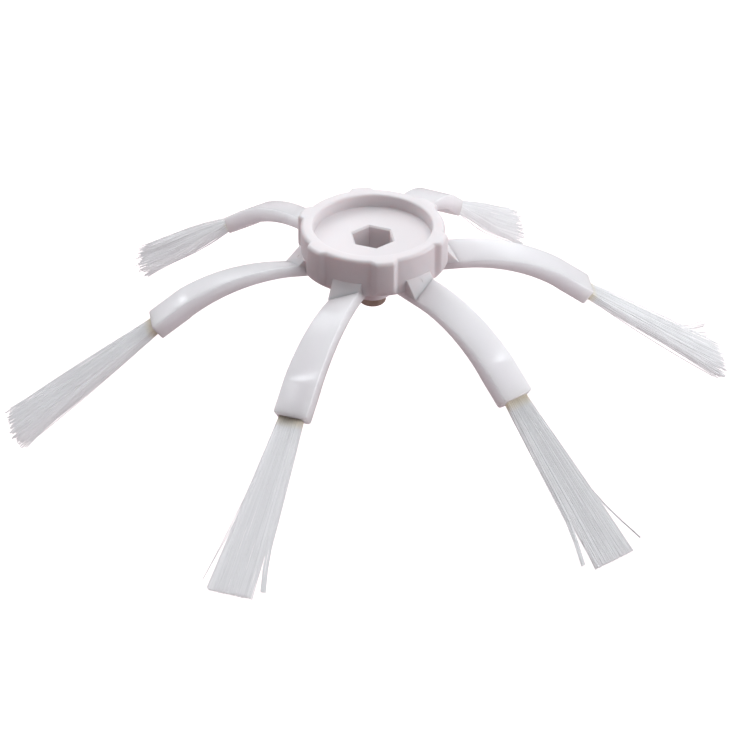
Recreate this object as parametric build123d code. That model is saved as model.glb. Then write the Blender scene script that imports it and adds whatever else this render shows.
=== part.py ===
from build123d import *
import math
import os

# Six-armed side brush. Millimetres, +Z up, origin on the hub's axis at the floor of its round recess.
# Arm 1 points along +X and the others follow every sixth of a turn.

ARM_COUNT = 6
ARM_PITCH = 360 / ARM_COUNT

# Hub: a lobed cup, open upwards for the recess and downwards around the boss
LOBE_RADIUS = 16.4
WALL_RADIUS = 15.3
LOBE_HALF_ANGLE = 7.0
FLANK_ANGLE = 3.5
RECESS_RADIUS = 12.65
RIM_HEIGHT = 2.9
SKIRT_DROP = 6.2
SKIRT_WALL = 2.4
FLOOR_THICKNESS = 2.4
BOTTOM_ROUND = 3.0
RIM_EDGE_BREAK = 0.3
RECESS_EDGE_BREAK = 0.25

# Hex drive socket, its boss and the web that the screw clamps
HEX_SIDES = 6
HEX_FLATS = 8.0
HEX_LEAD = 0.35
BOSS_RADIUS = 6.0
NOSE_RADIUS = 4.0
NOSE_LENGTH = 2.5
BOSS_DROP = 13.6
WEB_THICKNESS = 3.0

# Ribs under the floor, and the spurs that stand over the arms' roots
RIB_THICKNESS = 2.0
SPUR_WIDTH = 6.4
SPUR_DROP = 2.7
SPUR_SLOPE = 50.0

# Arm: level banked root, long bend that untwists, short knuckle, straight ferrule
ARM_TOE_INSET = 3.9
ARM_ROOT_MARGIN = 0.5
ARM_LEVEL_RUN = 0.8
ARM_TOP_DROP = 5.0
ARM_BEND_RADIUS = 41.5
ARM_BEND_ANGLE = 30.0
KNUCKLE_RADIUS = 17.0
FERRULE_ANGLE = 37.0
FERRULE_LENGTH = 7.4
ROOT_WIDTH = 6.6
FERRULE_WIDTH = 7.4
ROOT_THICKNESS = 2.35
FERRULE_THICKNESS = 3.6
ROOT_BANK = 19.5
FERRULE_BANK = 2.0
TWIST_EASE = 1.5
ARM_EDGE_BREAK = 0.4
FERRULE_CORNER = 0.9
ARM_SPANS = 5

# Tuft: a bonded root in the ferrule's pocket, and locks of bristle that fan out from it.
# Each tuft has taken its own set: degrees to the raised side of its arm, upwards and about its own axis,
# and the width that its tip has fanned out to.
TUFT_WIDTH = 5.1
TUFT_THICKNESS = 1.8
TUFT_CLEARANCE = 0.05
POCKET_DEPTH = 6.0
TUFT_LENGTH = 39.3
TIP_THICKNESS = 4.6
LOCK_COLUMNS = 8
LOCK_ROWS = 2
LOCK_WIDTH = 0.46
LOCK_THICKNESS = 0.6
LOCK_BURY = 0.5
LOCK_RAGGED = 2.4
LOCK_SHUFFLE = (0.618, 0.37, 0.29)
TUFT_LEANS = (4.5, -4.1, 1.5, 0.0, -1.0, 0.0)
TUFT_LIFTS = (0.0, 2.3, 0.0, 0.0, 0.0, 0.0)
TUFT_TWISTS = (0.0, 55.0, -65.0, 0.0, 0.0, 0.0)
TIP_WIDTHS = (11.4, 8.2, 7.0, 11.4, 11.4, 11.4)

# Retaining screw, with its head under the boss
SCREW_RADIUS = 1.5
SCREW_CLEARANCE = 0.05
SCREW_REACH = 4.0
HEAD_RADIUS = 2.9
HEAD_HEIGHT = 2.4
HEAD_BREAK = 0.8
CROSS_LENGTH = 3.2
CROSS_WIDTH = 0.8
CROSS_DEPTH = 1.2

# Size of the blocks that trim the pieces, well beyond the hub
TRIM = 4 * LOBE_RADIUS

UP = (Align.CENTER, Align.CENTER, Align.MIN)
DOWN = (Align.CENTER, Align.CENTER, Align.MAX)


def sin(degrees):
    return math.sin(math.radians(degrees))


def cos(degrees):
    return math.cos(math.radians(degrees))


def tan(degrees):
    return math.tan(math.radians(degrees))


def polar(radius, degrees):
    return (radius * cos(degrees), radius * sin(degrees))


def around(solid):
    """Copies of a solid, one for each arm."""
    return [Rot(0, 0, ARM_PITCH * k) * solid for k in range(ARM_COUNT)]


# The arm's course lies in the XZ plane. Lengths run along the middle of its top, from the toe.


def arm_course():
    """Lengths at which the straight root, the level run, the bend and the knuckle end."""
    spur_reach = (ARM_TOP_DROP - SPUR_DROP + SPUR_WIDTH / 2 * tan(ROOT_BANK)) / tan(SPUR_SLOPE)
    root = ARM_TOE_INSET + spur_reach + ARM_ROOT_MARGIN
    level = root + ARM_LEVEL_RUN
    bend = level + ARM_BEND_RADIUS * math.radians(ARM_BEND_ANGLE)
    knuckle = bend + KNUCKLE_RADIUS * math.radians(FERRULE_ANGLE - ARM_BEND_ANGLE)
    return root, level, bend, knuckle


def arm_point(length):
    """Radius, height and droop angle of the arm's top at a length."""
    _, level, bend, knuckle = arm_course()
    angle = 0.0
    radius = WALL_RADIUS - ARM_TOE_INSET + min(length, level)
    height = -ARM_TOP_DROP
    for start, end, curve, turn in (
        (level, bend, ARM_BEND_RADIUS, ARM_BEND_ANGLE),
        (bend, knuckle, KNUCKLE_RADIUS, FERRULE_ANGLE - ARM_BEND_ANGLE),
    ):
        share = min(max((length - start) / (end - start), 0.0), 1.0)
        after = angle + share * turn
        radius += curve * (sin(after) - sin(angle))
        height -= curve * (cos(angle) - cos(after))
        angle = after
    straight = max(length - knuckle, 0.0)
    return radius + straight * cos(angle), height - straight * sin(angle), angle


def banked_plane(length, bank):
    """Plane across the arm: x over its width, y through its thickness, z outwards along it."""
    radius, height, angle = arm_point(length)
    along = Vector(cos(angle), 0, -sin(angle))
    raised = Vector(sin(angle), 0, cos(angle))
    across = Vector(0, 1, 0) * cos(bank) + raised * sin(bank)
    return Plane(origin=(radius, 0, height), x_dir=across, z_dir=along)


def arm_section(length):
    """The arm's strip section, hung from its top line, with its upper edges broken."""
    root, _, _, knuckle = arm_course()
    share = min(max((length - root) / (knuckle - root), 0.0), 1.0)
    bank = FERRULE_BANK + (ROOT_BANK - FERRULE_BANK) * (1 - share) ** TWIST_EASE
    thickness = ROOT_THICKNESS + (FERRULE_THICKNESS - ROOT_THICKNESS) * share**TWIST_EASE
    width = ROOT_WIDTH + (FERRULE_WIDTH - ROOT_WIDTH) * share
    strip = Rectangle(width, thickness)
    strip = chamfer(strip.vertices().sort_by(Axis.Y)[-2:], ARM_EDGE_BREAK)
    return banked_plane(length, bank) * Pos(0, -thickness / 2) * strip


def arm_root():
    """Straight banked root, from its toe inside the skirt to just past the spur."""
    return extrude(arm_section(0), amount=arm_course()[0])


def ferrule_end():
    """Plane at the ferrule's end, through the middle of its top edge."""
    return banked_plane(arm_course()[3] + FERRULE_LENGTH, FERRULE_BANK)


def pocket_mouth():
    return ferrule_end() * Pos(0, -FERRULE_THICKNESS / 2)


def ferrule():
    """Straight end of the arm, cut off square, with its two corners taken off in plan."""
    plane = ferrule_end()
    block = extrude(arm_section(arm_course()[3]), amount=FERRULE_LENGTH)
    end_face = block.faces().sort_by(Axis(plane.origin, plane.z_dir))[-1]
    end_edges = end_face.edges().sort_by(Axis(plane.origin, plane.x_dir))
    return chamfer([end_edges[0], end_edges[-1]], FERRULE_CORNER)


def arm():
    root, _, _, knuckle = arm_course()
    bent = loft([arm_section(root + (knuckle - root) * k / ARM_SPANS) for k in range(ARM_SPANS + 1)])
    pocket = pocket_mouth() * Box(TUFT_WIDTH, TUFT_THICKNESS, 2 * POCKET_DEPTH)
    return arm_root() + bent + ferrule() - pocket


def under_arm():
    """Everything below the plane of the arm's root top, which the spur and rib sit on."""
    return Pos(0, 0, -ARM_TOP_DROP) * Rot(ROOT_BANK, 0, 0) * Box(TRIM, TRIM, TRIM, align=DOWN)


def spur():
    """Wedge that leaves the hub's wall and slopes down onto the arm's root."""
    inner = WALL_RADIUS - SKIRT_WALL / 2
    foot = ARM_TOP_DROP + SPUR_WIDTH / 2
    outline = Polyline(
        (inner, -SPUR_DROP),
        (WALL_RADIUS, -SPUR_DROP),
        (WALL_RADIUS + (foot - SPUR_DROP) / tan(SPUR_SLOPE), -foot),
        (inner, -foot),
        close=True,
    )
    wedge = extrude(Plane.XZ * make_face(outline), amount=SPUR_WIDTH / 2, both=True)
    return wedge - under_arm()


def rib():
    """Radial rib between the boss and the skirt, down to the arm's root."""
    inner = BOSS_RADIUS - RIB_THICKNESS / 2
    outer = WALL_RADIUS - SKIRT_WALL / 2
    top = -FLOOR_THICKNESS / 2
    depth = ARM_TOP_DROP + RIB_THICKNESS + top
    block = Box(outer - inner, RIB_THICKNESS, depth, align=(Align.MIN, Align.CENTER, Align.MAX))
    return Pos(inner, 0, top) * block - under_arm()


def hub_outline():
    """Plan of the hub: an arc at the wall over each arm, then a flank, a lobe and a flank."""
    half_wall = ARM_PITCH / 2 - LOBE_HALF_ANGLE - FLANK_ANGLE
    edges = []
    for k in range(ARM_COUNT):
        turn = ARM_PITCH * k
        crown = turn + ARM_PITCH / 2
        wall = [polar(WALL_RADIUS, turn + a) for a in (-half_wall, 0, half_wall)]
        lobe = [polar(LOBE_RADIUS, crown + a) for a in (-LOBE_HALF_ANGLE, 0, LOBE_HALF_ANGLE)]
        next_wall = polar(WALL_RADIUS, turn + ARM_PITCH - half_wall)
        edges += [ThreePointArc(*wall), Line(wall[2], lobe[0])]
        edges += [ThreePointArc(*lobe), Line(lobe[2], next_wall)]
    return make_face(edges)


def hub_cup():
    """The lobed cup: broken rim edge, skirt drawn in at the bottom by two flats, recess and hollow."""
    height = RIM_HEIGHT + SKIRT_DROP
    lobed = extrude(hub_outline(), amount=height)
    lobed = chamfer(lobed.faces().sort_by(Axis.Z)[-1].edges(), RIM_EDGE_BREAK)
    knee = BOTTOM_ROUND * (1 - cos(45))
    turned = Polyline(
        (0, 0),
        (LOBE_RADIUS - BOTTOM_ROUND, 0),
        (LOBE_RADIUS - knee, knee),
        (LOBE_RADIUS, BOTTOM_ROUND),
        (2 * LOBE_RADIUS, BOTTOM_ROUND),
        (2 * LOBE_RADIUS, 2 * height),
        (0, 2 * height),
        close=True,
    )
    cup = Pos(0, 0, -SKIRT_DROP) * (lobed & revolve(Plane.XZ * make_face(turned), Axis.Z))
    recess = Cylinder(RECESS_RADIUS, RIM_HEIGHT, align=UP)
    mouth = Cone(RECESS_RADIUS, RECESS_RADIUS + RECESS_EDGE_BREAK, RECESS_EDGE_BREAK, align=DOWN)
    hollow = Cylinder(WALL_RADIUS - SKIRT_WALL, SKIRT_DROP, align=DOWN)
    return cup - recess - Pos(0, 0, RIM_HEIGHT) * mouth - Pos(0, 0, -FLOOR_THICKNESS) * hollow


def boss():
    """Boss that hangs from the floor around the hex socket and steps in to a nose."""
    barrel = Cylinder(BOSS_RADIUS, BOSS_DROP - NOSE_LENGTH, align=DOWN)
    nose = Cylinder(NOSE_RADIUS, BOSS_DROP, align=DOWN)
    return barrel + nose


def hex_plan(flats):
    return RegularPolygon(flats / 2, HEX_SIDES, major_radius=False, rotation=180 / HEX_SIDES)


def hex_socket():
    """The drive socket with a lead at its mouth, its flats facing the arms."""
    walls = extrude(hex_plan(HEX_FLATS), amount=WEB_THICKNESS - BOSS_DROP)
    lead = loft([hex_plan(HEX_FLATS + 2 * HEX_LEAD), Pos(0, 0, -HEX_LEAD) * hex_plan(HEX_FLATS)])
    return walls + lead


def hub():
    body = hub_cup() + boss() + around(rib()) + around(spur())
    body -= around(arm_root())
    return body - hex_socket() - Cylinder(SCREW_RADIUS + SCREW_CLEARANCE, TRIM, align=DOWN)


def tuft(index):
    """A tuft in the ferrule of arm 1: bonded root block and locks that lean, twist and end unevenly."""
    width = TUFT_WIDTH - 2 * TUFT_CLEARANCE
    thickness = TUFT_THICKNESS - 2 * TUFT_CLEARANCE
    root = Box(width, thickness, POCKET_DEPTH - TUFT_CLEARANCE + LOCK_BURY, align=DOWN)
    lean = TUFT_LENGTH * tan(TUFT_LEANS[index % len(TUFT_LEANS)])
    lift = TUFT_LENGTH * tan(TUFT_LIFTS[index % len(TUFT_LIFTS)])
    twist = TUFT_TWISTS[index % len(TUFT_TWISTS)]
    tip_width = TIP_WIDTHS[index % len(TIP_WIDTHS)]
    by_column, by_row, by_tuft = LOCK_SHUFFLE
    locks = []
    for row in range(LOCK_ROWS):
        for column in range(LOCK_COLUMNS):
            across = column / (LOCK_COLUMNS - 1) - 0.5
            through = row / (LOCK_ROWS - 1) - 0.5
            shortfall = LOCK_RAGGED * ((by_column * column + by_row * row + by_tuft * index) % 1.0)
            start = Vector(across * (width - LOCK_WIDTH), through * (thickness - LOCK_THICKNESS), 0)
            fan = Vector(across * tip_width, through * TIP_THICKNESS, 0).rotate(Axis.Z, twist)
            end = fan + Vector(lean, lift, TUFT_LENGTH - shortfall)
            base = Plane(origin=start, x_dir=(1, 0, 0), z_dir=end - start)
            lock = extrude(base * Rectangle(LOCK_WIDTH, LOCK_THICKNESS), amount=(end - start).length)
            locks.append(lock)
    return pocket_mouth() * (Pos(0, 0, LOCK_BURY) * root + locks)


def retaining_screw():
    """Cross-head screw: head against the boss's nose, plain shank up through the web."""
    shank = Cylinder(SCREW_RADIUS, WEB_THICKNESS + SCREW_REACH, align=UP)
    head = Cylinder(HEAD_RADIUS, HEAD_HEIGHT, align=DOWN)
    head = chamfer(head.edges().sort_by(Axis.Z)[0], HEAD_BREAK)
    cross = Rectangle(CROSS_LENGTH, CROSS_WIDTH) + Rectangle(CROSS_WIDTH, CROSS_LENGTH)
    drive = Pos(0, 0, -HEAD_HEIGHT) * extrude(cross, amount=CROSS_DEPTH)
    return Pos(0, 0, -BOSS_DROP) * (shank + head - drive)


os.makedirs("parts", exist_ok=True)
export_step(hub(), "parts/hub.step")
for number, shape in enumerate(around(arm()), start=1):
    export_step(shape, f"parts/arm_{number}.step")
for number in range(1, ARM_COUNT + 1):
    placed = Rot(0, 0, ARM_PITCH * (number - 1)) * tuft(number - 1)
    export_step(placed, f"parts/tuft_{number}.step")
export_step(retaining_screw(), "parts/retaining_screw.step")
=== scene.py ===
# %% [markdown]
# # A side brush in white plastic, soft rubber and nylon
# The brush of a robot vacuum is small: a lobed hub, arms that droop from it, and a tuft of bristle in
# the end of each arm. The solids of the part are already made, so this lesson loads them as a fixed
# frame and then gives each piece its finished form and surface.
# Everything is in metres, with the origin on the hub's axis at the floor of its round recess.

# %% Load the solids
import math
import random

import bmesh
import bpy
from mathutils import Matrix, Vector


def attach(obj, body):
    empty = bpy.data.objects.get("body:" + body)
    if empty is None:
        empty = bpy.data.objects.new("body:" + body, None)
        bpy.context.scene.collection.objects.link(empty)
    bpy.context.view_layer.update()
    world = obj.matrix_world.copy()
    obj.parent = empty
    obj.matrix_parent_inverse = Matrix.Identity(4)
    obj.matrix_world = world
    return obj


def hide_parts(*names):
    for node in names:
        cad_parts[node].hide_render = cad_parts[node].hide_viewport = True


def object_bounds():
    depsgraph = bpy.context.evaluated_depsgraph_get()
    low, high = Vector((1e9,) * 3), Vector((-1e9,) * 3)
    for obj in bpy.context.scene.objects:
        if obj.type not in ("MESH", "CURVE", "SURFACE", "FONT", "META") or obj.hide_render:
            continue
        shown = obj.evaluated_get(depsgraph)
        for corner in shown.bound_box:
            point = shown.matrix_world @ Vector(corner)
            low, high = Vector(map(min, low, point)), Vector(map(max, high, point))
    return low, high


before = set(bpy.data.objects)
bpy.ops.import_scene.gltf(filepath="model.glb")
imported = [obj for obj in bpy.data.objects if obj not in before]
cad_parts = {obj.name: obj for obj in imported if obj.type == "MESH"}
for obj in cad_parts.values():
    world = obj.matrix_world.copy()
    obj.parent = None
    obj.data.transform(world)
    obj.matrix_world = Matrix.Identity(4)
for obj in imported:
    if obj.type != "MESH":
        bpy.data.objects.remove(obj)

MM = 0.001
cad_low, cad_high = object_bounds()
print("solids", sorted(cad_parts))
print("box in mm", [round(x / MM, 1) for x in cad_high - cad_low])

# %% [markdown]
# ## Camera
# The photograph was taken from above with a long lens, so the brush hardly narrows towards the back.
# A camera is easiest to place by what it looks at: a target under the hub, a turn about the hub's
# axis, a height angle and a distance. The long lens then frames the brush as the photograph does.

# %% Look at the brush as the photograph does
VIEW_TURN = math.radians(-9.33)
VIEW_HEIGHT = math.radians(32.5)
VIEW_DISTANCE = 876 * MM
VIEW_TARGET = Vector((0.60 * MM, 0, -34.8 * MM))
VIEW_ROLL = math.radians(0.22)
VIEW_LENS = 194.2

turned = Matrix.Rotation(VIEW_TURN, 4, "Z")
backwards = turned @ Vector((0, -math.cos(VIEW_HEIGHT), math.sin(VIEW_HEIGHT)))
camera = bpy.data.objects.new("camera", bpy.data.cameras.new("camera"))
camera.data.lens = VIEW_LENS
camera.location = turned @ VIEW_TARGET + backwards * VIEW_DISTANCE
level = (-backwards).to_track_quat("-Z", "Y").to_matrix()
camera.rotation_euler = (level @ Matrix.Rotation(VIEW_ROLL, 3, "Z")).to_euler()
bpy.context.scene.collection.objects.link(camera)
bpy.context.scene.camera = camera
print("camera at", [round(x, 3) for x in camera.location])

# %% [markdown]
# ## Light and floor
# White on white only reads if the light has a direction. Broad lamps above and behind light all the tops,
# weaker ones on both sides and a low one on the right model the walls, and little comes from the front, so
# the sides that face us fall into a warm grey. Three small lamps stand where the arms' knuckles mirror
# them to us, and do nothing but draw a bright bar there. The broad ones over the arms are kept out of
# reflections, where their straight edges would show on the gloss. The floor is pale paper, and a glow that
# only the camera sees keeps it clean white.

# %% Hang the lamps
LAMPS = {
    "over_back": {"place": (0.0, 0.25, 1.17), "size": (1.6, 1.2), "power": 8.2, "mirrored": False},
    "over_right": {"place": (0.4, -0.2, 1.13), "size": (1.2, 1.2), "power": 5.2, "mirrored": False},
    "back": {"place": (0.0, 1.2, 0.8), "size": (1.2, 0.8), "power": 5.4},
    "back_left": {"place": (-0.8, 0.8, 0.9), "size": (0.7, 0.7), "power": 7.4, "mirrored": False},
    "left": {"place": (-1.2, 0.1, 0.7), "size": (0.8, 0.8), "power": 2.2},
    "right": {"place": (1.2, 0.1, 0.7), "size": (0.8, 0.8), "power": 1.6},
    "right_low": {"place": (1.3, 0.0, 0.15), "size": (0.5, 0.6), "power": 8.6},
    "front_right": {"place": (1.1, -0.65, 0.5), "size": (0.6, 0.6), "power": 2.2},
    "bar_front_left": {"place": (-0.46, -0.07, 1.0), "size": (0.1, 0.3), "power": 1.5, "lights": False},
    "bar_front_right": {"place": (0.7, 0.19, 1.0), "size": (0.13, 0.13), "power": 0.8, "lights": False},
    "bar_left": {"place": (-0.85, 1.04, 0.41), "size": (0.14, 0.08), "power": 0.65, "lights": False},
}
LAMP_COLOUR = (0.93, 0.98, 1.0)


def hang_lamp(name, place, size, power, lights=True, mirrored=True):
    """An area lamp that points at the hub. Its place is seen from the camera: right, away and up."""
    data = bpy.data.lights.new(name, "AREA")
    data.shape = "RECTANGLE"
    data.size, data.size_y = size
    data.energy = power
    data.color = LAMP_COLOUR
    lamp = bpy.data.objects.new(name, data)
    lamp.location = turned @ Vector(place)
    lamp.rotation_euler = (-lamp.location).to_track_quat("-Z", "Y").to_euler()
    lamp.visible_camera = False
    lamp.visible_diffuse = lights
    lamp.visible_glossy = mirrored
    bpy.context.scene.collection.objects.link(lamp)
    return lamp


for name, values in LAMPS.items():
    hang_lamp(name, **values)
print("lamps", list(LAMPS))

# %% Lay the floor and set the backdrop
FLOOR_SIDE = 8.0
FLOOR_GAP = 0.05 * MM
FLOOR_PAPER = (0.42, 0.33, 0.34, 1)
FLOOR_GLOW = 0.85
FLOOR_ROUGHNESS = 0.9


def glow_for_camera(tree, strength):
    """A value for emission that is on for the camera's own rays and off for the light that bounces."""
    ray = tree.nodes.new("ShaderNodeLightPath")
    scale = tree.nodes.new("ShaderNodeMath")
    scale.operation = "MULTIPLY"
    scale.inputs[1].default_value = strength
    tree.links.new(ray.outputs["Is Camera Ray"], scale.inputs[0])
    return scale.outputs["Value"]


world = bpy.data.worlds.new("studio")
bpy.context.scene.world = world
world.use_nodes = True
backdrop = world.node_tree.nodes["Background"]
backdrop.inputs["Color"].default_value = (1, 1, 1, 1)
world.node_tree.links.new(glow_for_camera(world.node_tree, 1.0), backdrop.inputs["Strength"])

floor_paint = bpy.data.materials.new("floor_paper")
floor_paint.use_nodes = True
floor_shader = floor_paint.node_tree.nodes["Principled BSDF"]
floor_shader.inputs["Base Color"].default_value = FLOOR_PAPER
floor_shader.inputs["Roughness"].default_value = FLOOR_ROUGHNESS
floor_shader.inputs["Specular IOR Level"].default_value = 0.0
floor_shader.inputs["Emission Color"].default_value = (1, 1, 1, 1)
floor_glow = glow_for_camera(floor_paint.node_tree, FLOOR_GLOW)
floor_paint.node_tree.links.new(floor_glow, floor_shader.inputs["Emission Strength"])

floor_bm = bmesh.new()
bmesh.ops.create_grid(floor_bm, x_segments=1, y_segments=1, size=FLOOR_SIDE / 2)
bmesh.ops.translate(floor_bm, verts=floor_bm.verts, vec=(0, 0, cad_low.z - FLOOR_GAP))
floor_mesh = bpy.data.meshes.new("floor")
floor_bm.to_mesh(floor_mesh)
floor_bm.free()
floor_mesh.materials.append(floor_paint)
floor = bpy.data.objects.new("floor", floor_mesh)
bpy.context.scene.collection.objects.link(floor)
bpy.context.scene.view_settings.view_transform = "Standard"
print("floor at", round(cad_low.z / MM, 2), "mm")

# %% [markdown]
# ## Moulded skin, shared by the plastic and the rubber
# Both white materials come out of a mould. Their colour drifts slightly where the melt flowed, and the
# steel's fine texture leaves a grain that breaks up the gloss. One node group makes these effects, and
# each material places it with its own values. It puts out only what changes over the surface.

# %% Build the moulded skin group
NOISE_MEAN = 0.5


def add_node(tree, kind, **values):
    """A node with some of its properties and input values set."""
    made = tree.nodes.new(kind)
    for key, value in values.items():
        if key in made.inputs:
            made.inputs[key].default_value = value
        else:
            setattr(made, key, value)
    return made


def moulded_skin_group():
    group = bpy.data.node_groups.new("moulded_skin", "ShaderNodeTree")
    for name, kind, value in (
        ("Color", "NodeSocketColor", (0.8, 0.8, 0.8, 1)),
        ("Flow Color", "NodeSocketColor", (0.75, 0.74, 0.75, 1)),
        ("Flow Scale", "NodeSocketFloat", 60.0),
        ("Grain Scale", "NodeSocketFloat", 2500.0),
        ("Roughness", "NodeSocketFloat", 0.35),
        ("Roughness Drift", "NodeSocketFloat", 0.1),
    ):
        socket = group.interface.new_socket(name, in_out="INPUT", socket_type=kind)
        socket.default_value = value
    for name, kind in (
        ("Color", "NodeSocketColor"),
        ("Roughness", "NodeSocketFloat"),
        ("Height", "NodeSocketFloat"),
    ):
        group.interface.new_socket(name, in_out="OUTPUT", socket_type=kind)
    inward = add_node(group, "NodeGroupInput")
    outward = add_node(group, "NodeGroupOutput")
    place = add_node(group, "ShaderNodeTexCoord")
    flow = add_node(group, "ShaderNodeTexNoise", Detail=3.0, Roughness=0.5)
    grain = add_node(group, "ShaderNodeTexNoise", Detail=2.0, Roughness=0.6)
    tint = add_node(group, "ShaderNodeMix", data_type="RGBA")
    centred = add_node(group, "ShaderNodeMath", operation="SUBTRACT")
    centred.inputs[1].default_value = NOISE_MEAN
    drift = add_node(group, "ShaderNodeMath", operation="MULTIPLY_ADD")
    link = group.links.new
    link(place.outputs["Object"], flow.inputs["Vector"])
    link(place.outputs["Object"], grain.inputs["Vector"])
    link(inward.outputs["Flow Scale"], flow.inputs["Scale"])
    link(inward.outputs["Grain Scale"], grain.inputs["Scale"])
    link(flow.outputs["Fac"], tint.inputs["Factor"])
    link(inward.outputs["Color"], tint.inputs["A"])
    link(inward.outputs["Flow Color"], tint.inputs["B"])
    link(grain.outputs["Fac"], centred.inputs[0])
    link(centred.outputs["Value"], drift.inputs[0])
    link(inward.outputs["Roughness Drift"], drift.inputs[1])
    link(inward.outputs["Roughness"], drift.inputs[2])
    link(tint.outputs["Result"], outward.inputs["Color"])
    link(drift.outputs["Value"], outward.inputs["Roughness"])
    link(grain.outputs["Fac"], outward.inputs["Height"])
    return group


moulded_skin = moulded_skin_group()
print("group", moulded_skin.name, [s.name for s in moulded_skin.interface.items_tree])

# %% [markdown]
# ## The two white materials
# The hub is a hard plastic with a satin gloss, and the arms are a soft, glossier rubber. Light sinks a
# short way into the plastic and several millimetres into the rubber, so both get subsurface scattering: it
# makes them look milky and not like chalk, and it lets the lit top of an arm brighten its shaded side.

# %% Mix the plastic and the rubber
GRAIN_STRENGTH = 0.25
PLASTIC_IOR = 1.5


def moulded_material(name, colour, flow_colour, roughness, grain_depth, scatter, reach):
    """A white material on the moulded skin. Its reach is how many mm each colour of light sinks in."""
    material = bpy.data.materials.new(name)
    material.use_nodes = True
    tree = material.node_tree
    shader = tree.nodes["Principled BSDF"]
    skin = add_node(tree, "ShaderNodeGroup", node_tree=moulded_skin)
    skin.inputs["Color"].default_value = (*colour, 1)
    skin.inputs["Flow Color"].default_value = (*flow_colour, 1)
    skin.inputs["Roughness"].default_value = roughness
    bump = add_node(tree, "ShaderNodeBump", Strength=GRAIN_STRENGTH, Distance=grain_depth)
    tree.links.new(skin.outputs["Color"], shader.inputs["Base Color"])
    tree.links.new(skin.outputs["Roughness"], shader.inputs["Roughness"])
    tree.links.new(skin.outputs["Height"], bump.inputs["Height"])
    tree.links.new(bump.outputs["Normal"], shader.inputs["Normal"])
    shader.inputs["IOR"].default_value = PLASTIC_IOR
    shader.inputs["Subsurface Weight"].default_value = scatter
    shader.inputs["Subsurface Radius"].default_value = reach
    shader.inputs["Subsurface Scale"].default_value = MM
    return material


hub_plastic = moulded_material(
    "hub_plastic",
    colour=(0.795, 0.727, 0.742),
    flow_colour=(0.765, 0.697, 0.712),
    roughness=0.36,
    grain_depth=0.02 * MM,
    scatter=0.5,
    reach=(2.2, 1.7, 1.6),
)
arm_rubber = moulded_material(
    "arm_rubber",
    colour=(0.99, 0.855, 0.90),
    flow_colour=(0.97, 0.835, 0.88),
    roughness=0.2,
    grain_depth=0.01 * MM,
    scatter=1.0,
    reach=(8.0, 8.0, 8.0),
)
print("materials", hub_plastic.name, arm_rubber.name)

# %% [markdown]
# ## How a piece is finished
# Every piece ends the same way: its mesh is closed, smooth where the surface is round and sharp where
# two faces meet at a clear angle. Then it takes its material, rides on the part's one body and stands
# for the solid that it replaces.

# %% The last step of every piece
SHARP_ANGLE = math.radians(32)


def finish_piece(name, mesh, material, node):
    """Turns a mesh into a finished piece that stands for a solid."""
    mesh.polygons.foreach_set("use_smooth", [True] * len(mesh.polygons))
    mesh.set_sharp_from_angle(angle=SHARP_ANGLE)
    mesh.materials.clear()
    mesh.materials.append(material)
    piece = bpy.data.objects.new(name, mesh)
    bpy.context.scene.collection.objects.link(piece)
    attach(piece, "root")
    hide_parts(node)
    return piece


def mesh_from(bm, name):
    """The bmesh as a mesh, with its faces turned outwards."""
    bmesh.ops.recalc_face_normals(bm, faces=bm.faces)
    mesh = bpy.data.meshes.new(name)
    bm.to_mesh(mesh)
    bm.free()
    return mesh


# %% [markdown]
# ## The arm's course
# An arm leaves the hub level, droops in one long bend, breaks over a short knuckle and ends in a
# straight ferrule. On the way it untwists: its root is banked like a propeller blade, its end is nearly
# level. One function gives the place and tilt of the strip at any length, and the spur over its root,
# the tuft in its end and the arm itself all use it.

# %% Follow the arm
ARM_COUNT = 6
WALL_RADIUS = 15.3 * MM
SPUR_WIDTH = 6.4 * MM
SPUR_DROP = 2.7 * MM
SPUR_SLOPE = math.radians(50)
ARM_TOE_INSET = 3.9 * MM
ARM_ROOT_MARGIN = 0.5 * MM
ARM_LEVEL_RUN = 0.8 * MM
ARM_TOP_DROP = 5.0 * MM
ARM_BEND_RADIUS = 41.5 * MM
ARM_BEND_ANGLE = math.radians(30)
KNUCKLE_RADIUS = 17 * MM
FERRULE_ANGLE = math.radians(37)
FERRULE_LENGTH = 7.4 * MM
ROOT_WIDTH = 6.6 * MM
FERRULE_WIDTH = 7.4 * MM
ROOT_THICKNESS = 2.35 * MM
FERRULE_THICKNESS = 3.6 * MM
ROOT_BANK = math.radians(19.5)
FERRULE_BANK = math.radians(2)
TWIST_EASE = 1.5

SPUR_REACH = (ARM_TOP_DROP - SPUR_DROP + SPUR_WIDTH / 2 * math.tan(ROOT_BANK)) / math.tan(SPUR_SLOPE)
ROOT_END = ARM_TOE_INSET + SPUR_REACH + ARM_ROOT_MARGIN
BEND_START = ROOT_END + ARM_LEVEL_RUN
BEND_END = BEND_START + ARM_BEND_RADIUS * ARM_BEND_ANGLE
KNUCKLE_END = BEND_END + KNUCKLE_RADIUS * (FERRULE_ANGLE - ARM_BEND_ANGLE)
ARM_END = KNUCKLE_END + FERRULE_LENGTH


def clamp01(value):
    return min(max(value, 0.0), 1.0)


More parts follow.
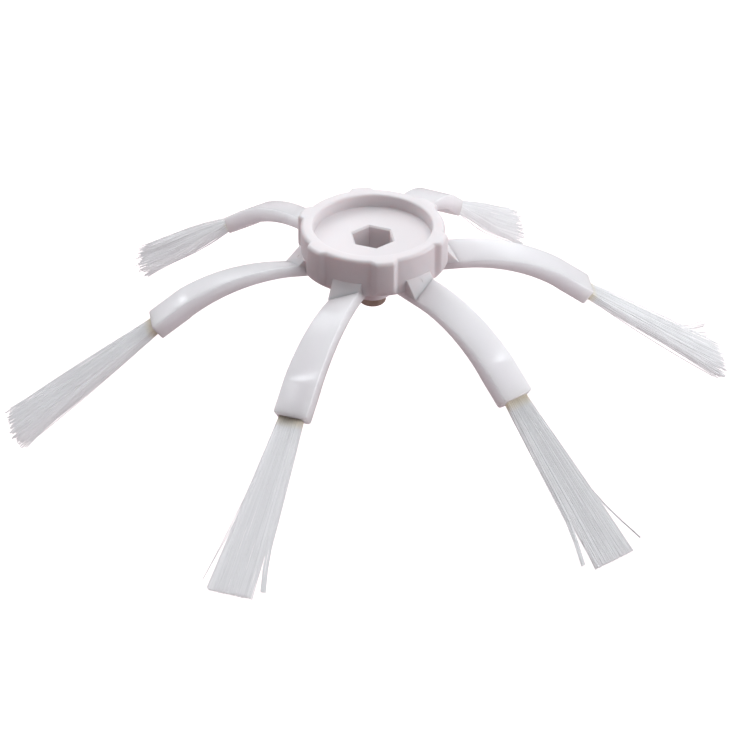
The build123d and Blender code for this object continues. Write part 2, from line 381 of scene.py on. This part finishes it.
def arm_point(length):
    """Radius, height and droop of the arm's top line."""
    angle = 0.0
    radius = WALL_RADIUS - ARM_TOE_INSET + min(length, BEND_START)
    height = -ARM_TOP_DROP
    for start, end, curve, turn in (
        (BEND_START, BEND_END, ARM_BEND_RADIUS, ARM_BEND_ANGLE),
        (BEND_END, KNUCKLE_END, KNUCKLE_RADIUS, FERRULE_ANGLE - ARM_BEND_ANGLE),
    ):
        after = angle + clamp01((length - start) / (end - start)) * turn
        radius += curve * (math.sin(after) - math.sin(angle))
        height -= curve * (math.cos(angle) - math.cos(after))
        angle = after
    straight = max(length - KNUCKLE_END, 0.0)
    return radius + straight * math.cos(angle), height - straight * math.sin(angle), angle


def arm_frame(length):
    """Matrix whose X runs across the arm, Y up through it and Z outwards along it, and its size there."""
    share = clamp01((length - ROOT_END) / (KNUCKLE_END - ROOT_END))
    bank = FERRULE_BANK + (ROOT_BANK - FERRULE_BANK) * (1 - share) ** TWIST_EASE
    width = ROOT_WIDTH + (FERRULE_WIDTH - ROOT_WIDTH) * share
    thickness = ROOT_THICKNESS + (FERRULE_THICKNESS - ROOT_THICKNESS) * share**TWIST_EASE
    radius, height, angle = arm_point(length)
    along = Vector((math.cos(angle), 0, -math.sin(angle)))
    raised = Vector((math.sin(angle), 0, math.cos(angle)))
    across = Vector((0, 1, 0)) * math.cos(bank) + raised * math.sin(bank)
    up = along.cross(across)
    matrix = Matrix((across, up, along)).transposed().to_4x4()
    matrix.translation = Vector((radius, 0, height)) - up * thickness / 2
    return matrix, width, thickness


def about_hub(index):
    """The turn that carries arm 1 to another arm."""
    return Matrix.Rotation(2 * math.pi * index / ARM_COUNT, 4, "Z")


print("arm is", round(ARM_END / MM, 1), "mm long on top")

# %% [markdown]
# ## Arms
# A rubber strip whose section changes all the way could be a bent cube, but bends drag the corners with
# them. Here a rounded section is set at each station and neighbouring sections are bridged, which keeps
# the edge rounding even. Towards its end the strip narrows on two round corners, and it is cut off square.

# %% Mould the arms
EDGE_ROUND = 0.3 * MM
UNDER_ROUND = 0.25 * MM
ROUND_STEPS = 4
END_ROUND = 0.3 * MM
FERRULE_CORNER = 0.7 * MM
CORNER_STEPS = 6
CORNER_SWEEP = math.radians(80)
BEND_SPANS = 26
KNUCKLE_SPANS = 8


def rounded_off(length, radius):
    """How far a round end corner of this radius has drawn the surface in."""
    share = clamp01((length - ARM_END) / radius + 1)
    return radius * (1 - math.sqrt(1 - share**2))


def add_section(bm, length):
    """One rounded section of the arm. Returns its edges and its face."""
    matrix, width, thickness = arm_frame(length)
    width -= 2 * rounded_off(length, FERRULE_CORNER)
    thickness -= 2 * rounded_off(length, END_ROUND)
    flat = matrix @ Matrix.Diagonal((width, thickness, 1, 1))
    corners = bmesh.ops.create_grid(bm, x_segments=1, y_segments=1, size=0.5, matrix=flat)["verts"]
    inverse = flat.inverted()
    for upper, size in ((True, EDGE_ROUND), (False, UNDER_ROUND)):
        chosen = [v for v in corners if v.is_valid and ((inverse @ v.co).y > 0) == upper]
        bmesh.ops.bevel(
            bm,
            geom=chosen,
            offset=size,
            segments=ROUND_STEPS,
            profile=0.5,
            affect="VERTICES",
            material=-1,
        )
    bm.faces.ensure_lookup_table()
    face = bm.faces[-1]
    return list(face.edges), face


def arm_stations():
    """Lengths of the sections: ends of the straight stretches, and close steps round the curves."""
    bend = [BEND_START + (BEND_END - BEND_START) * k / BEND_SPANS for k in range(BEND_SPANS + 1)]
    knuckle = [BEND_END + (KNUCKLE_END - BEND_END) * k / KNUCKLE_SPANS for k in range(1, KNUCKLE_SPANS + 1)]
    turns = [CORNER_SWEEP * k / CORNER_STEPS for k in range(CORNER_STEPS + 1)]
    corner = [ARM_END - FERRULE_CORNER * (1 - math.sin(turn)) for turn in turns]
    return [0.0, ROOT_END, *bend, *knuckle, *corner]


def make_strip(stations):
    """The arm's strip from station to station, closed at both ends."""
    bm = bmesh.new()
    before = None
    sections = []
    for length in stations:
        edges, face = add_section(bm, length)
        if before:
            bmesh.ops.bridge_loops(bm, edges=before + edges)
        before = edges
        sections.append(face)
    bmesh.ops.delete(bm, geom=sections[1:-1], context="FACES_ONLY")
    return bm


arm_mesh = mesh_from(make_strip(arm_stations()), "arm")
for index in range(ARM_COUNT):
    placed = arm_mesh.copy()
    placed.transform(about_hub(index))
    finish_piece(f"arm_strip_{index + 1}", placed, arm_rubber, f"arm_{index + 1}")
print("arm faces", len(arm_mesh.polygons))

# %% [markdown]
# ## Tufts
# A tuft is some hundreds of nylon strands, bonded into the ferrule and trimmed. Hair particles would do,
# but real strands export as they look. One strand is modelled as a thin bar of a few dozen faces, and
# each copy is bent along its own line: it spreads with the fan and ends a little short or long. Every tuft
# has taken its own set, so each has its lean, its twist, its raggedness and locks that have split from the
# rest. The strands throw no shadows, because clear nylon passes on most of the light that falls on it.
# The strands near the tuft's two edges are painted lighter: a painted highlight for the light that shines
# through the thin edge of a tuft.

# %% Grow the tufts
STRAND_RADIUS = 0.085 * MM
STRAND_SIDES = 5
STRAND_SPANS = 8
STRAND_COLUMNS = 42
STRAND_ROWS = 7
STRAND_BURY = 1.0 * MM
STRAND_BOW = 0.2 * MM
TUFT_WIDTH = 5.1 * MM
TUFT_THICKNESS = 1.8 * MM
TUFT_LENGTH = 39.2 * MM

# A strand is set off from its place in the rows, and it starts below the bond. At the tip the rows keep
# most of their order and mix a little. Few strands are much too short. A parted lock leaves in a curve.
STRAND_OFFSET = (0.1, 0.9)
ROW_ORDER = 0.8
ROW_MIXING = 0.2
RAGGED_EASE = 1.6
SPLAY_EASE = 1.5
TUFT_SEED = 100

# Shares of the length or the width, and tones from 0, dark, to 1, light.
TWIST_RUN = 0.6
LOCK_GATHER = 0.25
LOCK_TONE = 0.45
# The strands near both edges of a tuft are painted lighter, a painted highlight for the light that shines
# through there.
PAINTED_EDGE_LIGHT_START = 0.6
PAINTED_EDGE_LIGHT = 1.2
TONE_SPREAD = 0.75

# The set of each tuft. Lean to the raised side of the arm, lift and twist are in degrees. Width and
# thickness of the tip, its raggedness and how far a parted lock falls short are in millimetres. A lock is
# a share of the width, positive on the raised side, the millimetres that it splays, and the share of the
# length at which it parts.
TUFTS = (
    {
        "lean": 4.5,
        "lift": 0.0,
        "twist": 0.0,
        "width": 11.0,
        "thickness": 4.2,
        "ragged": 2.0,
        "lock_short": 0.0,
        "locks": ((0.02, 9.5, 0.66), (0.045, 5.5, 0.68), (-0.06, 0.8, 0.6)),
    },
    {
        "lean": -8.0,
        "lift": 3.0,
        "twist": 55.0,
        "width": 7.6,
        "thickness": 4.2,
        "ragged": 2.6,
        "lock_short": 0.8,
        "locks": ((-0.04, 1.0, 0.5), (0.05, 0.6, 0.6)),
    },
    {
        "lean": 5.5,
        "lift": 0.0,
        "twist": -65.0,
        "width": 6.2,
        "thickness": 4.4,
        "ragged": 2.8,
        "lock_short": 0.8,
        "locks": ((0.06, 0.8, 0.6), (-0.04, 0.5, 0.5)),
    },
    {
        "lean": 0.0,
        "lift": 0.0,
        "twist": -8.0,
        "width": 11.0,
        "thickness": 4.2,
        "ragged": 2.2,
        "lock_short": 1.8,
        "locks": ((0.015, 2.2, 0.7), (-0.04, 1.0, 0.75)),
    },
    {
        "lean": -1.0,
        "lift": 0.0,
        "twist": 0.0,
        "width": 11.0,
        "thickness": 2.0,
        "ragged": 0.15,
        "lock_short": 1.8,
        "locks": ((0.11, 1.3, 0.75), (-0.015, 1.7, 0.45)),
    },
    {
        "lean": 0.0,
        "lift": 0.0,
        "twist": 0.0,
        "width": 11.0,
        "thickness": 2.0,
        "ragged": 0.15,
        "lock_short": 1.8,
        "locks": ((-0.09, 1.8, 0.72), (0.015, 3.2, 0.6)),
    },
)


def strand_mesh():
    """A thin bar from z = 0 to z = 1."""
    bm = bmesh.new()
    bmesh.ops.create_circle(bm, cap_ends=True, segments=STRAND_SIDES, radius=STRAND_RADIUS)
    end = bm.faces[:]
    for span in range(STRAND_SPANS):
        out = bmesh.ops.extrude_face_region(bm, geom=end)["geom"]
        moved = [v for v in out if isinstance(v, bmesh.types.BMVert)]
        bmesh.ops.translate(bm, verts=moved, vec=(0, 0, 1 / STRAND_SPANS))
        end = [f for f in out if isinstance(f, bmesh.types.BMFace)]
    return mesh_from(bm, "strand")


def splay(u, t, locks):
    """How far a strand has left the fan with its lock."""
    for share, reach, start in locks:
        side = math.copysign(1, share)
        if u * side > 1 - 2 * abs(share):
            return side * reach * MM * clamp01((t - start) / (1 - start)) ** SPLAY_EASE
    return 0.0


def strand_line(draw, column, row, shape):
    """Root, bow and tip of one strand, in the ferrule's own directions, and its place over the width."""
    u = (column + draw.uniform(*STRAND_OFFSET)) / STRAND_COLUMNS * 2 - 1
    v = (row + draw.uniform(*STRAND_OFFSET)) / STRAND_ROWS * 2 - 1
    across = u * (TUFT_WIDTH / 2 - STRAND_RADIUS)
    through = v * (TUFT_THICKNESS / 2 - STRAND_RADIUS)
    root = Vector((across, through, -STRAND_BURY))
    bow = Vector((draw.gauss(0, STRAND_BOW), draw.gauss(0, STRAND_BOW), 0))
    tip_v = min(max(v * ROW_ORDER + draw.gauss(0, ROW_MIXING), -1), 1)
    short = shape["ragged"] * MM * draw.random() ** RAGGED_EASE
    if splay(u, 1.0, shape["locks"]):
        short += shape["lock_short"] * MM
        tip_v *= LOCK_GATHER
    tip = Vector((u * shape["width"] * MM / 2, tip_v * shape["thickness"] * MM / 2, TUFT_LENGTH - short))
    return root, bow, tip, u


def strand_point(t, root, bow, tip, u, shape):
    """Where a strand runs at a share of its length: fanned and splayed, then twisted, leaned and lifted."""
    point = root.lerp(tip, t) + bow * (4 * t * (1 - t))
    point.x += splay(u, t, shape["locks"])
    point.rotate(Matrix.Rotation(math.radians(shape["twist"]) * clamp01(t / TWIST_RUN), 3, "Z"))
    point.x += t * TUFT_LENGTH * math.tan(math.radians(shape["lean"]))
    point.y += t * TUFT_LENGTH * math.tan(math.radians(shape["lift"]))
    return point


def make_tuft(index, strand):
    """All strands of one tuft, with each strand's own colour plus a painted highlight near the tuft's
    edges, and the place along it for the material.
    """
    draw = random.Random(TUFT_SEED + index)
    mouth, _, _ = arm_frame(ARM_END)
    place = about_hub(index) @ mouth
    shape = TUFTS[index]
    bm = bmesh.new()
    tone_and_edge_light = bm.verts.layers.float.new("strand_tone_and_edge_light")
    along = bm.verts.layers.float.new("strand_along")
    for column in range(STRAND_COLUMNS):
        for row in range(STRAND_ROWS):
            first = len(bm.verts)
            bm.from_mesh(strand)
            bm.verts.ensure_lookup_table()
            root, bow, tip, u = strand_line(draw, column, row, shape)
            # Painted highlight: the strands near the tuft's edges get a lighter colour.
            painted_edge_light = PAINTED_EDGE_LIGHT * max(abs(u) - PAINTED_EDGE_LIGHT_START, 0.0)
            own_tone_and_edge_light = min(TONE_SPREAD * draw.random() + painted_edge_light, 1.0)
            if splay(u, 1.0, shape["locks"]):
                own_tone_and_edge_light = LOCK_TONE
            for v in bm.verts[first:]:
                t = v.co.z
                side = Vector((v.co.x, v.co.y, 0))
                v.co = place @ (strand_point(t, root, bow, tip, u, shape) + side)
                v[tone_and_edge_light] = own_tone_and_edge_light
                v[along] = t
    mesh = bpy.data.meshes.new("tuft")
    bm.to_mesh(mesh)
    bm.free()
    return mesh


NYLON_TONES = ((0.665, 0.645, 0.655, 1), (0.83, 0.805, 0.815, 1))
BOND_TINT = (1.0, 0.92, 0.76, 1)
BOND_FADE = (0.04, 0.085)
NYLON_REACH = 0.3 * MM
NYLON_ROUGHNESS = 0.4
NYLON_IOR = 1.45


def bristle_material():
    """Milky nylon: each strand its own colour, lighter near the tuft's edges as a painted highlight, tinted
    by the bond at its root, with light passing into it.
    """
    material = bpy.data.materials.new("bristle_nylon")
    material.use_nodes = True
    tree = material.node_tree
    shader = tree.nodes["Principled BSDF"]
    tone_and_edge_light = add_node(tree, "ShaderNodeAttribute", attribute_name="strand_tone_and_edge_light")
    along = add_node(tree, "ShaderNodeAttribute", attribute_name="strand_along")
    nylon = add_node(tree, "ShaderNodeValToRGB")
    bond = add_node(tree, "ShaderNodeValToRGB")
    for end in (0, 1):
        nylon.color_ramp.elements[end].color = NYLON_TONES[end]
        bond.color_ramp.elements[end].position = BOND_FADE[end]
    bond.color_ramp.elements[0].color = BOND_TINT
    bond.color_ramp.elements[1].color = (1, 1, 1, 1)
    tinted = add_node(tree, "ShaderNodeMix", data_type="RGBA", blend_type="MULTIPLY")
    tinted.inputs["Factor"].default_value = 1.0
    tree.links.new(tone_and_edge_light.outputs["Fac"], nylon.inputs["Fac"])
    tree.links.new(along.outputs["Fac"], bond.inputs["Fac"])
    tree.links.new(nylon.outputs["Color"], tinted.inputs["A"])
    tree.links.new(bond.outputs["Color"], tinted.inputs["B"])
    tree.links.new(tinted.outputs["Result"], shader.inputs["Base Color"])
    shader.inputs["Roughness"].default_value = NYLON_ROUGHNESS
    shader.inputs["IOR"].default_value = NYLON_IOR
    shader.inputs["Subsurface Weight"].default_value = 1.0
    shader.inputs["Subsurface Radius"].default_value = (1.0, 1.0, 1.0)
    shader.inputs["Subsurface Scale"].default_value = NYLON_REACH
    return material


bristle_nylon = bristle_material()
strand = strand_mesh()
for index in range(ARM_COUNT):
    tuft = make_tuft(index, strand)
    node = f"tuft_{index + 1}"
    piece = finish_piece(f"tuft_strands_{index + 1}", tuft, bristle_nylon, node)
    piece.visible_shadow = False
print("strand faces", len(strand.polygons), "strands in a tuft", STRAND_COLUMNS * STRAND_ROWS)

# %% [markdown]
# ## Hub
# The hub is one moulding: a shallow cup with a thick rim, a skirt under it, and a boss in the middle. It is
# round but for six low lobes, so it starts as a spin: half a profile with rounded corners, turned about
# the axis. The lobes are then pressed into the turned wall by a formula. Cutting them out would lose the
# rounded rim, which follows the wall in and out here.

# %% Turn the cup and press the lobes
LOBE_RADIUS = 16.4 * MM
LOBE_CROWN = math.radians(6.0)
LOBE_FOOT = math.radians(11.4)
RECESS_RADIUS = 12.65 * MM
RIM_HEIGHT = 2.9 * MM
RIM_ROUND = 0.8 * MM
MOUTH_ROUND = 0.45 * MM
SKIRT_DROP = 6.2 * MM
SKIRT_WALL = 2.4 * MM
FLOOR_THICKNESS = 2.4 * MM
BOTTOM_ROUND = 3.0 * MM
BOSS_RADIUS = 6.0 * MM
BOSS_DROP = 13.6 * MM
NOSE_RADIUS = 4.0 * MM
NOSE_LENGTH = 2.5 * MM
SMALL_ROUND = 0.25 * MM
HUB_STEPS = 720
PROFILE_STEPS = 6
WELD = 0.001 * MM
RIM_ROUND_REACH = 1.01 * RIM_ROUND


def spin_solid(corners, steps):
    """A turned solid from a half profile, given as radius, height and rounding of each corner."""
    bm = bmesh.new()
    chain = [bm.verts.new((radius, 0, height)) for radius, height, _ in corners]
    for first, second in zip(chain, chain[1:]):
        bm.edges.new((first, second))
    for corner, (_, _, rounding) in zip(chain, corners):
        if rounding:
            bmesh.ops.bevel(
                bm,
                geom=[corner],
                offset=rounding,
                segments=PROFILE_STEPS,
                profile=0.5,
                affect="VERTICES",
                material=-1,
            )
    bmesh.ops.spin(
        bm,
        geom=bm.verts[:] + bm.edges[:],
        cent=(0, 0, 0),
        axis=(0, 0, 1),
        angle=2 * math.pi,
        steps=steps,
        use_merge=True,
    )
    bmesh.ops.remove_doubles(bm, verts=bm.verts, dist=WELD)
    return bm


def lobed_radius(angle):
    """The hub's outline: a lobe between each two arms, with soft flanks down to the wall."""
    pitch = 2 * math.pi / ARM_COUNT
    from_crown = abs(angle % pitch - pitch / 2)
    share = clamp01((from_crown - LOBE_CROWN) / (LOBE_FOOT - LOBE_CROWN))
    return LOBE_RADIUS - (LOBE_RADIUS - WALL_RADIUS) * share * share * (3 - 2 * share)


def make_cup():
    skirt_inside = WALL_RADIUS - SKIRT_WALL
    nose_top = NOSE_LENGTH - BOSS_DROP
    bm = spin_solid(
        [
            (0, 0, 0),
            (RECESS_RADIUS, 0, SMALL_ROUND),
            (RECESS_RADIUS, RIM_HEIGHT, MOUTH_ROUND),
            (LOBE_RADIUS, RIM_HEIGHT, RIM_ROUND),
            (LOBE_RADIUS, -SKIRT_DROP, BOTTOM_ROUND),
            (skirt_inside, -SKIRT_DROP, SMALL_ROUND),
            (skirt_inside, -FLOOR_THICKNESS, SMALL_ROUND),
            (BOSS_RADIUS, -FLOOR_THICKNESS, SMALL_ROUND),
            (BOSS_RADIUS, nose_top, SMALL_ROUND),
            (NOSE_RADIUS, nose_top, SMALL_ROUND),
            (NOSE_RADIUS, -BOSS_DROP, SMALL_ROUND),
            (0, -BOSS_DROP, 0),
        ],
        HUB_STEPS,
    )
    for v in bm.verts:
        radius = v.co.xy.length
        if radius < (RECESS_RADIUS + WALL_RADIUS) / 2:
            continue
        outline = lobed_radius(math.atan2(v.co.y, v.co.x))
        on_rim = v.co.z > RIM_HEIGHT - RIM_ROUND_REACH
        pressed = radius - LOBE_RADIUS + outline if on_rim else min(radius, outline)
        v.co.xy *= pressed / radius
    return mesh_from(bm, "cup")


cup = make_cup()
print("cup faces", len(cup.polygons))

# %% [markdown]
# ## Spurs, ribs and socket
# Over each arm's root a sloping spur leaves the wall and keeps the rubber from peeling off, and under the
# floor a rib stiffens it. These are blocks trimmed by two planes. Booleans join them to the cup, and cut
# out the hex socket for the drive shaft, the screw's hole, the notches of the arms and the small round
# mark that an ejector pin left on each spur.

# %% Join the blocks and cut the openings
SPUR_ROUND = 0.22 * MM
SPUR_ROUND_STEPS = 3
DOWNHILL = 0.9
SPUR_BURY = 0.4 * SKIRT_WALL
RIB_THICKNESS = 2.0 * MM
RIB_SHORTFALL = 0.6 * SKIRT_WALL
PIN_RADIUS = 0.4 * MM
PIN_DEPTH = 0.08 * MM
PIN_PLACE = 1.1 * MM
HEX_FLATS = 8.0 * MM
HEX_LEAD = 0.35 * MM
WEB_THICKNESS = 3.0 * MM
SCREW_RADIUS = 1.5 * MM
HOLE_RADIUS = 1.55 * MM
PIN_SIDES = 24
HEX_SIDES = 6
HOLE_SIDES = 48

slope_normal = Vector((math.sin(SPUR_SLOPE), 0, math.cos(SPUR_SLOPE)))
slope_down = Vector((math.cos(SPUR_SLOPE), 0, -math.sin(SPUR_SLOPE)))
spur_crest = Vector((WALL_RADIUS, 0, -SPUR_DROP))
arm_top = Vector((0, 0, -ARM_TOP_DROP))
arm_top_normal = Vector((0, -math.sin(ROOT_BANK), math.cos(ROOT_BANK)))


def add_block(bm, low, high):
    """A block between two corners."""
    middle = (Vector(low) + Vector(high)) / 2
    size = Vector(high) - Vector(low)
    bmesh.ops.create_cube(bm, size=1, matrix=Matrix.Translation(middle) @ Matrix.Diagonal((*size, 1)))


def trim(bm, point, normal):
    """Cuts away what lies past a plane and closes the cut. Returns the new face."""
    everything = bm.verts[:] + bm.edges[:] + bm.faces[:]
    cut = bmesh.ops.bisect_plane(bm, geom=everything, plane_co=point, plane_no=normal, clear_outer=True)
    edges = [e for e in cut["geom_cut"] if isinstance(e, bmesh.types.BMEdge)]
    return bmesh.ops.contextual_create(bm, geom=edges)["faces"][0]


def make_spur():
    bm = bmesh.new()
    inside = WALL_RADIUS - SPUR_BURY
    foot = ARM_TOP_DROP + SPUR_WIDTH / 2
    outside = WALL_RADIUS + foot / math.tan(SPUR_SLOPE)
    add_block(bm, (inside, -SPUR_WIDTH / 2, -foot), (outside, SPUR_WIDTH / 2, -SPUR_DROP))
    slope = trim(bm, spur_crest, slope_normal)
    trim(bm, arm_top, -arm_top_normal)
    courses = {e: (e.verts[0].co - e.verts[1].co).normalized() for e in slope.edges}
    flanks = [e for e, course in courses.items() if abs(course.dot(slope_down)) > DOWNHILL]
    bmesh.ops.bevel(
        bm,
        geom=flanks,
        offset=SPUR_ROUND,
        segments=SPUR_ROUND_STEPS,
        profile=0.5,
        affect="EDGES",
        material=-1,
    )
    return mesh_from(bm, "spur")


def make_rib():
    bm = bmesh.new()
    inside = BOSS_RADIUS - RIB_THICKNESS / 2
    outside = WALL_RADIUS - RIB_SHORTFALL
    foot = ARM_TOP_DROP + RIB_THICKNESS
    add_block(bm, (inside, -RIB_THICKNESS / 2, -foot), (outside, RIB_THICKNESS / 2, -FLOOR_THICKNESS / 2))
    trim(bm, arm_top, -arm_top_normal)
    return mesh_from(bm, "rib")


def make_rod(radius, top_radius, sides, low, high):
    """A straight or tapered rod on the hub's axis."""
    bm = bmesh.new()
    bmesh.ops.create_cone(
        bm,
        cap_ends=True,
        segments=sides,
        radius1=radius,
        radius2=top_radius,
        depth=high - low,
        matrix=Matrix.Translation((0, 0, (low + high) / 2)),
    )
    return mesh_from(bm, "rod")


def make_pin():
    rod = make_rod(PIN_RADIUS, PIN_RADIUS, PIN_SIDES, -PIN_DEPTH, PIN_DEPTH)
    place = slope_normal.to_track_quat("Z", "Y").to_matrix().to_4x4()
    place.translation = spur_crest + slope_down * PIN_PLACE
    rod.transform(place)
    return rod


def ring_of(mesh):
    """One mesh with a copy of the given one at each arm."""
    bm = bmesh.new()
    for index in range(ARM_COUNT):
        copy = mesh.copy()
        copy.transform(about_hub(index))
        bm.from_mesh(copy)
    return mesh_from(bm, mesh.name)


def boolean(mesh, steps):
    """The mesh after a row of boolean steps, each an operation and another mesh."""
    body = bpy.data.objects.new("body", mesh)
    bpy.context.scene.collection.objects.link(body)
    others = []
    for operation, other in steps:
        helper = bpy.data.objects.new("helper", other)
        bpy.context.scene.collection.objects.link(helper)
        change = body.modifiers.new("step", "BOOLEAN")
        change.solver = "EXACT"
        change.operation = operation
        change.object = helper
        others.append(helper)
    ready = body.evaluated_get(bpy.context.evaluated_depsgraph_get())
    result = bpy.data.meshes.new_from_object(ready)
    for thing in (body, *others):
        bpy.data.objects.remove(thing)
    return result


# The lead is a hex cone at 45 degrees that runs on above the floor as far as it goes below it.
hex_corner = HEX_FLATS / math.sqrt(3)
lead_corner = (HEX_FLATS + 4 * HEX_LEAD) / math.sqrt(3)
socket_bottom = WEB_THICKNESS - BOSS_DROP
hub_mesh = boolean(
    cup,
    [
        ("UNION", ring_of(make_spur())),
        ("UNION", ring_of(make_rib())),
        ("DIFFERENCE", ring_of(mesh_from(make_strip([0.0, ROOT_END]), "root"))),
        ("DIFFERENCE", ring_of(make_pin())),
        ("DIFFERENCE", make_rod(hex_corner, hex_corner, HEX_SIDES, socket_bottom, RIM_HEIGHT)),
        ("DIFFERENCE", make_rod(hex_corner, lead_corner, HEX_SIDES, -HEX_LEAD, HEX_LEAD)),
        ("DIFFERENCE", make_rod(HOLE_RADIUS, HOLE_RADIUS, HOLE_SIDES, -2 * BOSS_DROP, 0)),
    ],
)
finish_piece("hub_moulding", hub_mesh, hub_plastic, "hub")
print("hub faces", len(hub_mesh.polygons))

# %% [markdown]
# ## Screw
# One cross-head screw holds the brush on its shaft. Its head shows under the hub as a small dark disc. The
# head and the core are a spin again, the thread is a small triangle spun while it climbs, and the cross is
# cut with two tapered bars.

# %% Turn and thread the screw
HEAD_RADIUS = 2.9 * MM
HEAD_HEIGHT = 2.4 * MM
HEAD_ROUND = 0.8 * MM
SCREW_REACH = 4.0 * MM
THREAD_PITCH = 0.6 * MM
THREAD_DEPTH = 0.28 * MM
THREAD_STEPS = 24
TOOTH_HALF = 0.6 * THREAD_PITCH
TOOTH_HEIGHT = 1.5 * THREAD_DEPTH
PLAIN_TURNS = 2
SCREW_STEPS = 96
CROSS_LENGTH = 3.2 * MM
CROSS_WIDTH = 0.8 * MM
CROSS_DEPTH = 1.2 * MM
CROSS_TAPER = (0.35, 0.7, 1)


def make_screw_body():
    tip = WEB_THICKNESS + SCREW_REACH - BOSS_DROP
    core = SCREW_RADIUS - THREAD_DEPTH
    bm = spin_solid(
        [
            (0, -BOSS_DROP - HEAD_HEIGHT, 0),
            (HEAD_RADIUS, -BOSS_DROP - HEAD_HEIGHT, HEAD_ROUND),
            (HEAD_RADIUS, -BOSS_DROP, SMALL_ROUND / 2),
            (core, -BOSS_DROP, 0),
            (core, tip, SMALL_ROUND),
            (0, tip, 0),
        ],
        SCREW_STEPS,
    )
    return mesh_from(bm, "screw_body")


def make_thread():
    turns = round((WEB_THICKNESS + SCREW_REACH) / THREAD_PITCH) - PLAIN_TURNS
    start = -BOSS_DROP + THREAD_PITCH
    inside = SCREW_RADIUS - TOOTH_HEIGHT
    bm = bmesh.new()
    corners = (
        (inside, 0, start - TOOTH_HALF),
        (SCREW_RADIUS, 0, start),
        (inside, 0, start + TOOTH_HALF),
    )
    tooth = bm.faces.new([bm.verts.new(corner) for corner in corners])
    bmesh.ops.spin(
        bm,
        geom=[tooth],
        cent=(0, 0, 0),
        axis=(0, 0, 1),
        dvec=(0, 0, THREAD_PITCH / THREAD_STEPS),
        angle=2 * math.pi * turns,
        steps=THREAD_STEPS * turns,
    )
    return mesh_from(bm, "thread")


def make_cross_bar(turn):
    bm = bmesh.new()
    low = -BOSS_DROP - HEAD_HEIGHT
    corner = Vector((CROSS_LENGTH / 2, CROSS_WIDTH / 2, CROSS_DEPTH))
    add_block(bm, Vector((0, 0, low)) - corner, Vector((0, 0, low)) + corner)
    deep = [v for v in bm.verts if v.co.z > low]
    bmesh.ops.scale(bm, verts=deep, vec=CROSS_TAPER)
    bmesh.ops.rotate(bm, verts=bm.verts, matrix=Matrix.Rotation(turn, 3, "Z"))
    return mesh_from(bm, "cross_bar")


screw_mesh = boolean(
    make_screw_body(),
    [
        ("DIFFERENCE", make_cross_bar(0)),
        ("DIFFERENCE", make_cross_bar(math.pi / 2)),
        ("UNION", make_thread()),
    ],
)


PLATING_TONES = ((0.27, 0.19, 0.15, 1), (0.52, 0.41, 0.34, 1))
PLATING_ROUGHNESS = (0.3, 0.55)
PLATING_PATCHES = 900.0


def screw_material():
    """Dull brown plating with rubbed patches."""
    material = bpy.data.materials.new("screw_metal")
    material.use_nodes = True
    tree = material.node_tree
    shader = tree.nodes["Principled BSDF"]
    place = add_node(tree, "ShaderNodeTexCoord")
    patches = add_node(tree, "ShaderNodeTexNoise", Scale=PLATING_PATCHES, Detail=4.0)
    colour = add_node(tree, "ShaderNodeValToRGB")
    for end in (0, 1):
        colour.color_ramp.elements[end].color = PLATING_TONES[end]
    rough = add_node(tree, "ShaderNodeMapRange")
    rough.inputs["To Min"].default_value, rough.inputs["To Max"].default_value = PLATING_ROUGHNESS
    tree.links.new(place.outputs["Object"], patches.inputs["Vector"])
    tree.links.new(patches.outputs["Fac"], colour.inputs["Fac"])
    tree.links.new(patches.outputs["Fac"], rough.inputs["Value"])
    tree.links.new(colour.outputs["Color"], shader.inputs["Base Color"])
    tree.links.new(rough.outputs["Result"], shader.inputs["Roughness"])
    shader.inputs["Metallic"].default_value = 0.9
    return material


screw_metal = screw_material()
finish_piece("screw_threaded", screw_mesh, screw_metal, "retaining_screw")
print("screw faces", len(screw_mesh.polygons))
